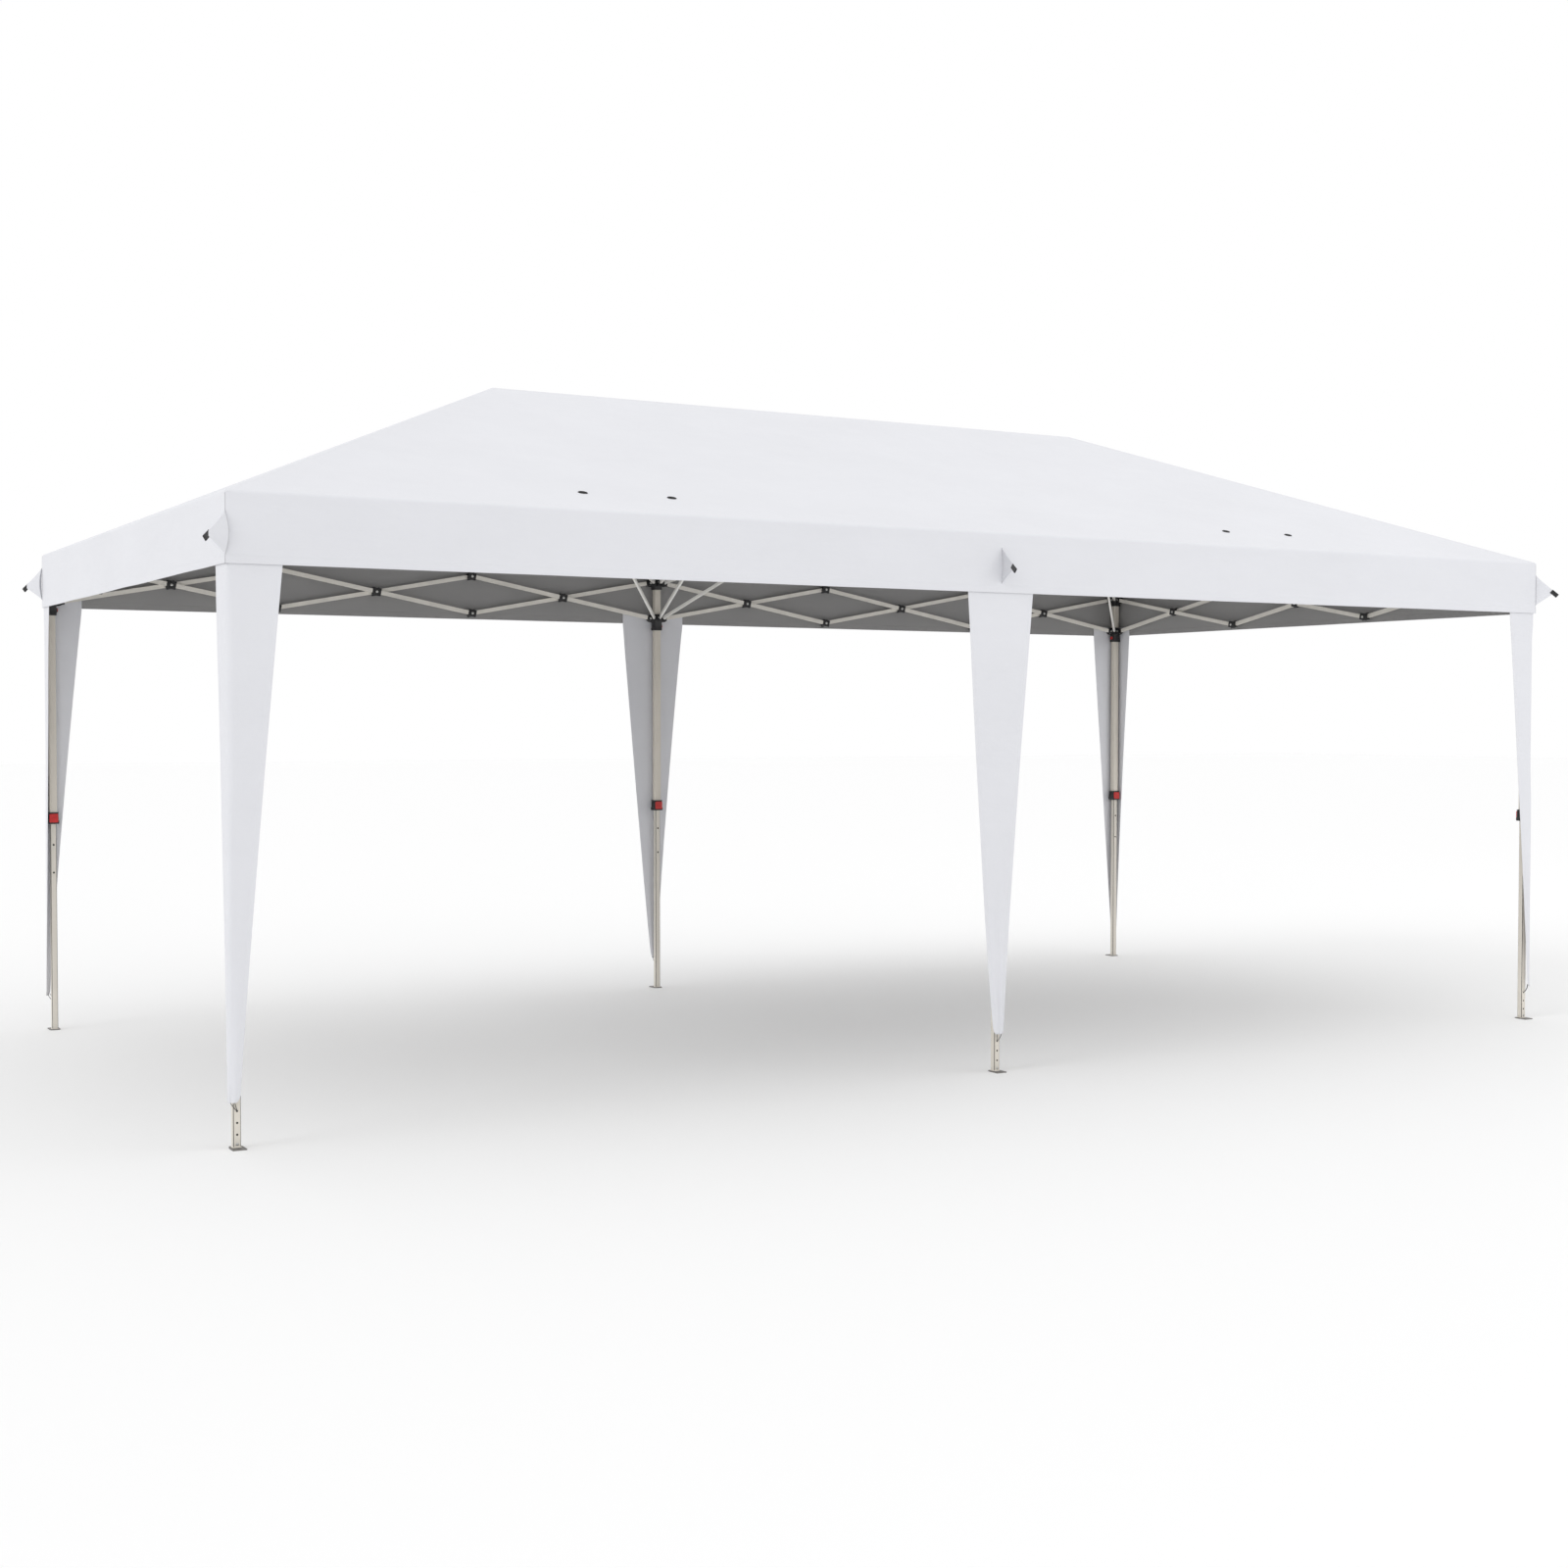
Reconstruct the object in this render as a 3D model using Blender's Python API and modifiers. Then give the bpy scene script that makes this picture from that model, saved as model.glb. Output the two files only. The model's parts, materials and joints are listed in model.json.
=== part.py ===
"""Pop-up canopy of the 3 by 6 metre class: six telescoping legs, a scissor truss all round, roof ribs on
three hubs and a fabric cover. Metres, +Z up. The origin is on the ground under the middle of the roof,
+X runs along the long side and -Y is the front."""

import math

import bmesh
import bpy
from mathutils import Matrix, Vector

# Driving dimensions of the frame
HALF_LENGTH = 2.900
HALF_WIDTH = 1.447
UPPER_PIVOT_Z = 2.021
LOWER_PIVOT_Z = 1.846
SCISSORS_PER_BAY = 3
SCISSOR_SPAN = 0.940

# Scissor bars: flat tubes in two layers, one each side of the truss plane
BAR_HEIGHT = 0.022
BAR_THICK = 0.012
LAYER_OFFSET = 0.0066
EYE_RADIUS = 0.0145
EYE_ARC_STEPS = 6

# Legs
OUTER_TUBE = 0.032
INNER_TUBE = 0.025
TUBE_BORE = 0.029
INNER_BORE = 0.0226
OUTER_TUBE_BOTTOM_Z = 0.900
INNER_TUBE_TOP_Z = 1.250
COLLAR = 0.047
COLLAR_BOTTOM_Z = 0.890
COLLAR_TOP_Z = 0.940

# Crown on top of each leg and slider round it, both with forked lugs
CROWN = 0.043
CROWN_BOTTOM_Z = 1.990
CROWN_TOP_Z = 2.038
SLIDER = 0.043
SLIDER_BORE = 0.0336
SLIDER_BOTTOM_Z = 1.786
SLIDER_TOP_Z = 1.866
LUG_REACH = 0.048
LUG_HALF_HEIGHT = 0.017
LUG_INNER = 0.0136
LUG_OUTER = 0.0165

# Foot plate with a hole for a ground stake
FOOT_THICK = 0.004
FOOT_HALF_WIDTH = 0.022
FOOT_INWARD = 0.020
FOOT_OUTWARD = 0.045
STAKE_HOLE_OUT = 0.031
STAKE_HOLE_RADIUS = 0.006

# Roof ribs
RIDGE_HALF = 1.454
HUB_RADIUS = 0.045
HUB_BOTTOM_Z = 2.570
HUB_TOP_Z = 2.645
RIB_WIDTH = 0.014
RIB_HEIGHT = 0.020
RIB_START = 0.045
RIB_START_Z = 2.026
RIB_HUB_Z = 2.606
STRETCHER_START_Z = 1.850
STRETCHER_REACH = 0.600

# Fabric cover
COVER_OUT = 0.026
CLOTH_THICK = 0.002
EAVE_Z = 2.044
RIDGE_Z = 2.676
VALANCE_Z = 1.819
SKIRT_MIDDLE_TOP = 0.150
SKIRT_CORNER_TOP = 0.165
SKIRT_FOOT = 0.016
SKIRT_FOOT_Z = 0.147
SKIRT_CURVE = 1.2
SKIRT_ROWS = 6

UP = Vector((0, 0, 1))
ROUND_STEPS = 12
OVERCUT = 0.010

LEGS = {
    "rear_left": Vector((-HALF_LENGTH, HALF_WIDTH, 0)),
    "rear_middle": Vector((0, HALF_WIDTH, 0)),
    "rear_right": Vector((HALF_LENGTH, HALF_WIDTH, 0)),
    "front_left": Vector((-HALF_LENGTH, -HALF_WIDTH, 0)),
    "front_middle": Vector((0, -HALF_WIDTH, 0)),
    "front_right": Vector((HALF_LENGTH, -HALF_WIDTH, 0)),
}

# Each truss runs from one leg to the next, in the order in which the frame hangs together
TRUSSES = {
    "rear_left": ("rear_middle", "rear_left"),
    "rear_right": ("rear_middle", "rear_right"),
    "side_left": ("rear_left", "front_left"),
    "side_right": ("rear_right", "front_right"),
    "front_left": ("front_left", "front_middle"),
    "front_right": ("front_right", "front_middle"),
}

HUBS = {
    "left": (Vector((-RIDGE_HALF, 0, 0)), ("rear_left", "rear_middle", "front_left", "front_middle")),
    "middle": (Vector((0, 0, 0)), ("rear_middle", "front_middle")),
    "right": (Vector((RIDGE_HALF, 0, 0)), ("rear_right", "rear_middle", "front_right", "front_middle")),
}


def clear_scene():
    for old in list(bpy.data.objects):
        bpy.data.objects.remove(old, do_unlink=True)


def new_collection(name):
    collection = bpy.data.collections.new(name)
    bpy.context.scene.collection.children.link(collection)
    return collection


def new_material(name, colour, roughness, metallic=0.0):
    material = bpy.data.materials.new(name)
    material.use_nodes = True
    shader = material.node_tree.nodes["Principled BSDF"]
    shader.inputs["Base Color"].default_value = (*colour, 1)
    shader.inputs["Roughness"].default_value = roughness
    shader.inputs["Metallic"].default_value = metallic
    return material


def add_box(mesh, low, high):
    """Adds a box between two opposite corners."""
    size = Vector(high) - Vector(low)
    middle = (Vector(high) + Vector(low)) / 2
    place = Matrix.Translation(middle) @ Matrix.Diagonal((*size, 1))
    bmesh.ops.create_cube(mesh, size=1, matrix=place)


def add_post(mesh, foot, width, bottom, top):
    """Adds an upright square post on the leg axis that passes through foot."""
    half = width / 2
    add_box(mesh, (foot.x - half, foot.y - half, bottom), (foot.x + half, foot.y + half, top))


def add_beam(mesh, start, end, width, height):
    """Adds a straight bar of rectangular section whose width stays level."""
    along = (end - start).normalized()
    side = UP.cross(along).normalized()
    turn = Matrix((along, side, along.cross(side))).transposed().to_4x4()
    size = Matrix.Diagonal(((end - start).length, width, height, 1))
    bmesh.ops.create_cube(mesh, size=1, matrix=Matrix.Translation((start + end) / 2) @ turn @ size)


def add_cylinder(mesh, centre, radius, bottom, top):
    place = Matrix.Translation((centre.x, centre.y, (bottom + top) / 2))
    bmesh.ops.create_cone(
        mesh,
        cap_ends=True,
        segments=ROUND_STEPS,
        radius1=radius,
        radius2=radius,
        depth=top - bottom,
        matrix=place,
    )


def mesh_object(name, build, collection, material, origin=Vector((0, 0, 0))):
    """Makes an object from a function that fills a bmesh in world coordinates."""
    mesh = bmesh.new()
    build(mesh)
    bmesh.ops.translate(mesh, verts=mesh.verts, vec=-origin)
    data = bpy.data.meshes.new(name)
    mesh.to_mesh(data)
    mesh.free()
    if material:
        data.materials.append(material)
    made = bpy.data.objects.new(name, data)
    made.location = origin
    collection.objects.link(made)
    return made


def cut(target, build, cutters):
    """Cuts the shape that build makes out of target, and fuses target's own overlapping boxes."""
    cutter = mesh_object(target.name + "_cutter", build, cutters, None)
    cutter.hide_render = True
    cutter.display_type = "WIRE"
    boolean = target.modifiers.new("cut", "BOOLEAN")
    boolean.operation = "DIFFERENCE"
    boolean.solver = "EXACT"
    boolean.use_self = True
    boolean.object = cutter


def directions_from(leg):
    """The level directions of the trusses that meet at a leg."""
    found = []
    for start, end in TRUSSES.values():
        if leg == start:
            found.append((LEGS[end] - LEGS[start]).normalized())
        if leg == end:
            found.append((LEGS[start] - LEGS[end]).normalized())
    return found


def truss_gap(truss):
    """The distance from a leg's axis to the truss's first pivot."""
    start, end = TRUSSES[truss]
    return ((LEGS[end] - LEGS[start]).length - SCISSORS_PER_BAY * SCISSOR_SPAN) / 2


def pivot(truss, step, height):
    """The joint at the end of so many scissor spans from the truss's first leg."""
    start, end = TRUSSES[truss]
    along = (LEGS[end] - LEGS[start]).normalized()
    return LEGS[start] + along * (truss_gap(truss) + step * SCISSOR_SPAN) + UP * height


def add_lugs(mesh, foot, body, leg, pivot_z):
    """Adds a pair of ears along each truss, with room between them for a bar's end."""
    for along in directions_from(leg):
        across = UP.cross(along)
        for side in (-1, 1):
            near = foot + along * (body / 2 - 0.002) + across * side * LUG_INNER
            far = foot + along * LUG_REACH + across * side * LUG_OUTER
            low = Vector(map(min, near, far)) + UP * (pivot_z - LUG_HALF_HEIGHT)
            high = Vector(map(max, near, far)) + UP * (pivot_z + LUG_HALF_HEIGHT)
            add_box(mesh, low, high)


def leg_joint(leg):
    """The pin that carries a leg's crown, at the end of the truss that brings the leg along."""
    for truss, (_, end) in TRUSSES.items():
        if end == leg:
            return pivot(truss, SCISSORS_PER_BAY, UPPER_PIVOT_Z)
    return LEGS[leg].copy()


def slider_joint(leg):
    """The pin that carries a leg's slider."""
    for truss, (start, end) in TRUSSES.items():
        if end == leg:
            return pivot(truss, SCISSORS_PER_BAY, LOWER_PIVOT_Z)
        if start == leg == "rear_middle":
            return pivot(truss, 0, LOWER_PIVOT_Z)
    return LEGS[leg].copy()


def make_upper_leg(leg, collection, cutters, material):
    """Outer tube with its crown on top and the leg lock's collar at the bottom."""
    foot = LEGS[leg]

    def build(mesh):
        add_post(mesh, foot, OUTER_TUBE, OUTER_TUBE_BOTTOM_Z, CROWN_BOTTOM_Z + 0.005)
        add_post(mesh, foot, CROWN, CROWN_BOTTOM_Z, CROWN_TOP_Z)
        add_post(mesh, foot, COLLAR, COLLAR_BOTTOM_Z, COLLAR_TOP_Z)
        add_lugs(mesh, foot, CROWN, leg, UPPER_PIVOT_Z)

    def bore(mesh):
        add_post(mesh, foot, TUBE_BORE, COLLAR_BOTTOM_Z - OVERCUT, CROWN_BOTTOM_Z)

    tube = mesh_object("upper_leg_" + leg, build, collection, material, leg_joint(leg))
    cut(tube, bore, cutters)


def make_lower_leg(leg, collection, cutters, material):
    """Inner tube, open at the top, welded to its foot plate."""
    foot = LEGS[leg]
    outward = math.copysign(1, foot.y)

    def build(mesh):
        add_post(mesh, foot, INNER_TUBE, FOOT_THICK / 2, INNER_TUBE_TOP_Z)
        ends = sorted((foot.y - outward * FOOT_INWARD, foot.y + outward * FOOT_OUTWARD))
        low = (foot.x - FOOT_HALF_WIDTH, ends[0], 0)
        high = (foot.x + FOOT_HALF_WIDTH, ends[1], FOOT_THICK)
        add_box(mesh, low, high)

    def bore(mesh):
        add_post(mesh, foot, INNER_BORE, FOOT_THICK, INNER_TUBE_TOP_Z + OVERCUT)
        hole = foot + Vector((0, outward * STAKE_HOLE_OUT, 0))
        add_cylinder(mesh, hole, STAKE_HOLE_RADIUS, -OVERCUT, FOOT_THICK + OVERCUT)

    tube = mesh_object("lower_leg_" + leg, build, collection, material, foot)
    cut(tube, bore, cutters)


def make_slider(leg, collection, cutters, material):
    """Sleeve that runs on the outer tube and carries the lower ends of the trusses."""
    foot = LEGS[leg]

    def build(mesh):
        add_post(mesh, foot, SLIDER, SLIDER_BOTTOM_Z, SLIDER_TOP_Z)
        add_lugs(mesh, foot, SLIDER, leg, LOWER_PIVOT_Z)

    def bore(mesh):
        add_post(mesh, foot, SLIDER_BORE, SLIDER_BOTTOM_Z - OVERCUT, SLIDER_TOP_Z + OVERCUT)

    sleeve = mesh_object("slider_" + leg, build, collection, material, slider_joint(leg))
    cut(sleeve, bore, cutters)


def bar_outline(name, length, start):
    """A bar with round eyes, flat in XY, its first eye at x = start. It is extruded to its thickness."""
    shoulder = math.acos(BAR_HEIGHT / 2 / EYE_RADIUS) - math.pi / 2
    points = []
    for centre, turn in ((start, math.pi / 2), (start + length, -math.pi / 2)):
        first = turn + shoulder
        sweep = math.pi - 2 * shoulder
        for step in range(EYE_ARC_STEPS + 1):
            angle = first + sweep * step / EYE_ARC_STEPS
            points.append((centre + EYE_RADIUS * math.cos(angle), EYE_RADIUS * math.sin(angle)))
    curve = bpy.data.curves.new(name, "CURVE")
    curve.dimensions = "2D"
    curve.fill_mode = "BOTH"
    curve.extrude = BAR_THICK / 2
    outline = curve.splines.new("POLY")
    outline.points.add(len(points) - 1)
    for point, (x, y) in zip(outline.points, points):
        point.co = (x, y, 0, 1)
    outline.use_cyclic_u = True
    return curve


def make_bars(collection, material):
    """Six bars a truss. Bars a zigzag from the first leg's crown, and bars b from its slider."""
    rise = UPPER_PIVOT_Z - LOWER_PIVOT_Z
    length = math.hypot(SCISSOR_SPAN, rise)
    outlines = {"a": bar_outline("bar_a", length, 0), "b": bar_outline("bar_b", length, -length / 2)}
    for outline in outlines.values():
        outline.materials.append(material)
    for truss in TRUSSES:
        for step in range(SCISSORS_PER_BAY):
            for letter, outline in outlines.items():
                falls = (letter == "a") == (step % 2 == 0)
                heights = (UPPER_PIVOT_Z, LOWER_PIVOT_Z) if falls else (LOWER_PIVOT_Z, UPPER_PIVOT_Z)
                near = pivot(truss, step, heights[0])
                far = pivot(truss, step + 1, heights[1])
                along = (far - near).normalized()
                through = along.cross(UP).normalized()
                layer = LAYER_OFFSET if falls else -LAYER_OFFSET
                origin = near if letter == "a" else (near + far) / 2
                bar = bpy.data.objects.new(f"{truss}_bar_{step + 1}{letter}", outline)
                turn = Matrix((along, through.cross(along), through)).transposed().to_4x4()
                bar.matrix_world = Matrix.Translation(origin + through * layer) @ turn
                collection.objects.link(bar)


def make_rib_set(side, collection, cutters, material):
    """One hub with its ribs down to the crowns, each held up by a stretcher from the slider."""
    centre, legs = HUBS[side]

    def build(mesh):
        add_cylinder(mesh, centre, HUB_RADIUS, HUB_BOTTOM_Z, HUB_TOP_Z)
        for leg in legs:
            inward = (centre - LEGS[leg]).normalized()
            start = LEGS[leg] + inward * RIB_START + UP * RIB_START_Z
            end = centre + UP * RIB_HUB_Z
            add_beam(mesh, start, end, RIB_WIDTH, RIB_HEIGHT)
            share = (STRETCHER_REACH - RIB_START) / (end - start).xy.length
            brace = LEGS[leg] + inward * RIB_START + UP * STRETCHER_START_Z
            add_beam(mesh, brace, start.lerp(end, share), RIB_WIDTH * 0.8, RIB_HEIGHT * 0.8)

    def bore(mesh):
        add_cylinder(mesh, centre, HUB_RADIUS / 3, HUB_BOTTOM_Z - OVERCUT, HUB_BOTTOM_Z + OVERCUT)

    ribs = mesh_object("roof_ribs_" + side, build, collection, material, centre + UP * RIB_HUB_Z)
    cut(ribs, bore, cutters)


def skirt_width(top, z):
    """How far a leg skirt reaches from its middle or its corner: a taper with a slight hollow."""
    share = (z - SKIRT_FOOT_Z) / (VALANCE_Z - SKIRT_FOOT_Z)
    return SKIRT_FOOT + (top - SKIRT_FOOT) * share**SKIRT_CURVE


def make_cover(collection, material):
    """Hip roof, valances and six leg skirts as one cloth, thickened inwards."""
    long_side = HALF_LENGTH + COVER_OUT
    short_side = HALF_WIDTH + COVER_OUT
    levels = [VALANCE_Z + (SKIRT_FOOT_Z - VALANCE_Z) * row / SKIRT_ROWS for row in range(SKIRT_ROWS + 1)]

    def build(mesh):
        known = {}

        def at(x, y, z):
            key = (round(x, 6), round(y, 6), round(z, 6))
            if key not in known:
                known[key] = mesh.verts.new(key)
            return known[key]

        corners = [(-1, -1), (1, -1), (1, 1), (-1, 1)]
        eaves = [at(sx * long_side, sy * short_side, EAVE_Z) for sx, sy in corners]
        left_end, right_end = at(-RIDGE_HALF, 0, RIDGE_Z), at(RIDGE_HALF, 0, RIDGE_Z)
        mesh.faces.new((eaves[0], eaves[1], right_end, left_end))
        mesh.faces.new((eaves[2], eaves[3], left_end, right_end))
        mesh.faces.new((eaves[3], eaves[0], left_end))
        mesh.faces.new((eaves[1], eaves[2], right_end))
        for side in (-1, 1):
            hem = [-long_side, -long_side + SKIRT_CORNER_TOP, -SKIRT_MIDDLE_TOP]
            hem += [-x for x in reversed(hem)]
            top = [at(x, side * short_side, EAVE_Z) for x in (long_side, -long_side)]
            mesh.faces.new(top + [at(x, side * short_side, VALANCE_Z) for x in hem])
            hem = [-short_side, -short_side + SKIRT_CORNER_TOP]
            hem += [-y for y in reversed(hem)]
            top = [at(side * long_side, y, EAVE_Z) for y in (short_side, -short_side)]
            mesh.faces.new(top + [at(side * long_side, y, VALANCE_Z) for y in hem])
            for high, low in zip(levels, levels[1:]):
                for end, half in ((0, SKIRT_MIDDLE_TOP), (-1, SKIRT_CORNER_TOP), (1, SKIRT_CORNER_TOP)):
                    wide, narrow = skirt_width(half, high), skirt_width(half, low)
                    x, y = end * long_side, side * short_side
                    if end == 0:
                        quad = [(-wide, y, high), (wide, y, high), (narrow, y, low), (-narrow, y, low)]
                        mesh.faces.new([at(*point) for point in quad])
                        continue
                    quad = [(x, y, high), (x - end * wide, y, high), (x - end * narrow, y, low), (x, y, low)]
                    mesh.faces.new([at(*point) for point in quad])
                    quad = [(x, y, high), (x, y - side * wide, high), (x, y - side * narrow, low), (x, y, low)]
                    mesh.faces.new([at(*point) for point in quad])
        bmesh.ops.recalc_face_normals(mesh, faces=mesh.faces)
        mesh.faces.ensure_lookup_table()
        if mesh.faces[0].normal.z < 0:
            bmesh.ops.reverse_faces(mesh, faces=mesh.faces)

    cover = mesh_object("canopy_cover", build, collection, material)
    wall = cover.modifiers.new("cloth", "SOLIDIFY")
    wall.thickness = CLOTH_THICK
    wall.offset = -1
    wall.use_even_offset = True
    wall.use_rim = True


def main():
    clear_scene()
    parts = new_collection("pop_up_canopy")
    cutters = new_collection("cutters")
    cutters.hide_render = True
    coated = new_material("powder_coated_tube", (0.78, 0.75, 0.68), 0.42, 0.2)
    plated = new_material("inner_tube", (0.76, 0.74, 0.68), 0.40, 0.2)
    plastic = new_material("black_plastic", (0.03, 0.03, 0.03), 0.5)
    bar_paint = new_material("bar_paint", (0.80, 0.77, 0.71), 0.42, 0.2)
    rib_paint = new_material("rib_paint", (0.82, 0.80, 0.76), 0.42, 0.2)
    cloth = new_material("white_polyester", (0.86, 0.86, 0.88), 0.75)
    for leg in LEGS:
        make_upper_leg(leg, parts, cutters, coated)
        make_lower_leg(leg, parts, cutters, plated)
        make_slider(leg, parts, cutters, plastic)
    make_bars(parts, bar_paint)
    for side in HUBS:
        make_rib_set(side, parts, cutters, rib_paint)
    make_cover(parts, cloth)


main()
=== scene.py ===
"""Looks of the pop-up canopy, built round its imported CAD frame. Metres, +Z up, the front is -Y."""

import json
from math import asin, atan, atan2, copysign, cos, hypot, pi, radians, sin, sqrt

import bmesh
import bpy
import numpy as np
from mathutils import Matrix, Vector

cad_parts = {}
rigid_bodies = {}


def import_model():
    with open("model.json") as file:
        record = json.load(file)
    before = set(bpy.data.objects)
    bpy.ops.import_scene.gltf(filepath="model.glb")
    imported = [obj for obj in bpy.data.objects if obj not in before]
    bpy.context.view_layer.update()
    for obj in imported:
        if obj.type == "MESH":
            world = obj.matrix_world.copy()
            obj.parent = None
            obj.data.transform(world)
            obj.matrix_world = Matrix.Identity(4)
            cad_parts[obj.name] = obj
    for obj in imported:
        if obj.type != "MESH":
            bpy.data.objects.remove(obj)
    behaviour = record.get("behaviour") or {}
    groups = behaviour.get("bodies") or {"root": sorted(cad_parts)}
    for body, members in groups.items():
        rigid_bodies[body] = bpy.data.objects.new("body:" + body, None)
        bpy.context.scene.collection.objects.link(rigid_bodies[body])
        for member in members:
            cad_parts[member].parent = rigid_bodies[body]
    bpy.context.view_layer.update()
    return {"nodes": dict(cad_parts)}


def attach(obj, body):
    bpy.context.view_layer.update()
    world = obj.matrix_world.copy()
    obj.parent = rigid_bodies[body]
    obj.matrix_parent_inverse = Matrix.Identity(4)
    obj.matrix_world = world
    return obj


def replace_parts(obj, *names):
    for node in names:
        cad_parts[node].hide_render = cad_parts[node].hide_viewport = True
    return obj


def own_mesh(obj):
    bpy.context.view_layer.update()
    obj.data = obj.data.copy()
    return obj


for old in list(bpy.data.objects):
    bpy.data.objects.remove(old, do_unlink=True)
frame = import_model()

# Frame dimensions, as in the CAD
LEG_X, LEG_Y = 2.9, 1.447
UPPER_Z, LOWER_Z = 2.021, 1.846
SPAN = 0.94
LAYER, BAR_T = 0.0066, 0.012
RISE = UPPER_Z - LOWER_Z
BAR_LENGTH = hypot(SPAN, RISE)
TILT = atan2(RISE, SPAN)
RIDGE_HALF = 1.454
OUTER_HALF, OUTER_BORE, OUTER_FOOT, OUTER_TOP = 0.016, 0.0144, 0.9, 1.994
INNER_HALF, INNER_BORE, INNER_FOOT, INNER_TOP = 0.0125, 0.0113, 0.002, 1.25
BUTTON_Z = 0.915
# Roof ribs: how far they start from the leg and end from the hub, how high, and where the stretcher meets them
RIB_START, RIB_END, RIB_START_Z, RIB_END_Z, KNEE_OUT = 0.042, 0.03, 2.026, 2.5985, 0.6

# Cloth dimensions
OUT = 0.0295
X_OUT, Y_OUT = LEG_X + OUT, LEG_Y + OUT
EAVE_Z, RIDGE_Z, HEM_Z = 2.0435, 2.676, 1.819
CLOTH, SKIRT_CLOTH = 0.0016, 0.0014
ROLL = 0.012
SKIRT_OUT, SKIRT_TOP, SKIRT_FOOT = 0.0262, 1.868, 0.147
STAKE_Y, TIE_HOLE_Z = -0.031, 0.118
# How deep a roof strip and a valance strip are cut
ROOF_CUT, VALANCE_CUT = 1.62, 0.23
TAPE_SECTION = [(-0.0092, -0.0005), (0.0092, -0.0005), (0.0092, 0.0005), (-0.0092, 0.0005)]

UP = Vector((0, 0, 1))
moved = Matrix.Translation
LEGS = {
    f"{row}_{place}": Vector((x, y, 0))
    for row, y in (("rear", LEG_Y), ("front", -LEG_Y))
    for place, x in (("left", -LEG_X), ("middle", 0), ("right", LEG_X))
}
TRUSSES = {
    "rear_left": ("rear_middle", "rear_left"),
    "rear_right": ("rear_middle", "rear_right"),
    "side_left": ("rear_left", "front_left"),
    "side_right": ("rear_right", "front_right"),
    "front_left": ("front_left", "front_middle"),
    "front_right": ("front_right", "front_middle"),
}
HUBS = {
    "left": (Vector((-RIDGE_HALF, 0, 0)), ("rear_left", "rear_middle", "front_left", "front_middle")),
    "middle": (Vector((0, 0, 0)), ("rear_middle", "front_middle")),
    "right": (Vector((RIDGE_HALF, 0, 0)), ("rear_right", "rear_middle", "front_right", "front_middle")),
}


# ---- materials


class Look:
    """A material and short ways to add nodes to it."""

    def __init__(self, name, colour, roughness, metallic=0.0):
        self.material = bpy.data.materials.new(name)
        self.material.use_nodes = True
        self.nodes = self.material.node_tree.nodes
        self.links = self.material.node_tree.links
        self.shader = self.nodes["Principled BSDF"]
        self.shader.inputs["Base Color"].default_value = (*colour, 1)
        self.shader.inputs["Roughness"].default_value = roughness
        self.shader.inputs["Metallic"].default_value = metallic

    def add(self, kind, settings=(), **inputs):
        node = self.nodes.new("ShaderNode" + kind)
        for key, value in dict(settings).items():
            setattr(node, key, value)
        for key, value in inputs.items():
            self.feed(node.inputs[key.replace("_", " ")], value)
        return node

    def feed(self, socket, value):
        if isinstance(value, bpy.types.NodeSocket):
            self.links.new(value, socket)
        else:
            socket.default_value = value

    def point(self, source="Object"):
        return self.add("TexCoord").outputs[source]

    def math(self, operation, *values):
        node = self.add("Math", {"operation": operation})
        for socket, value in zip(node.inputs, values):
            self.feed(socket, value)
        return node.outputs[0]

    def stretch(self, where, scale):
        node = self.add("Mapping", Vector=where)
        node.inputs["Scale"].default_value = scale
        return node.outputs[0]

    def noise(self, where, scale, detail=2.0, rough=0.5):
        node = self.add("TexNoise", Vector=where, Scale=scale, Detail=detail, Roughness=rough)
        return node.outputs["Fac"]

    def wave(self, where, direction, scale, distortion, detail=0.0):
        settings = {"bands_direction": direction}
        node = self.add("TexWave", settings, Vector=where, Scale=scale, Distortion=distortion, Detail=detail)
        return node.outputs["Fac"]

    def ramp(self, value, stops):
        node = self.add("ValToRGB", Fac=value)
        marks = node.color_ramp.elements
        while len(marks) < len(stops):
            marks.new(0.5)
        for mark, (place, shade) in zip(marks, stops):
            mark.position = place
            mark.color = (*shade, 1) if isinstance(shade, tuple) else (shade, shade, shade, 1)
        return node.outputs["Color"]

    def mix(self, share, first, second):
        node = self.nodes.new("ShaderNodeMix")
        node.data_type = "RGBA"
        self.feed(node.inputs["Factor"], share)
        for socket, value in ((node.inputs[6], first), (node.inputs[7], second)):
            self.feed(socket, (*value, 1) if isinstance(value, tuple) else value)
        return node.outputs[2]

    def bump(self, height, distance, strength=1.0, under=None):
        node = self.add("Bump", Height=height, Strength=strength, Distance=distance)
        if under:
            self.feed(node.inputs["Normal"], under)
        self.feed(self.shader.inputs["Normal"], node.outputs[0])
        return node.outputs[0]

    def paint(self, colour):
        self.feed(self.shader.inputs["Base Color"], colour)

    def gloss(self, value):
        self.feed(self.shader.inputs["Roughness"], value)


def shade(colour, by):
    return tuple(c * by for c in colour)


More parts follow.
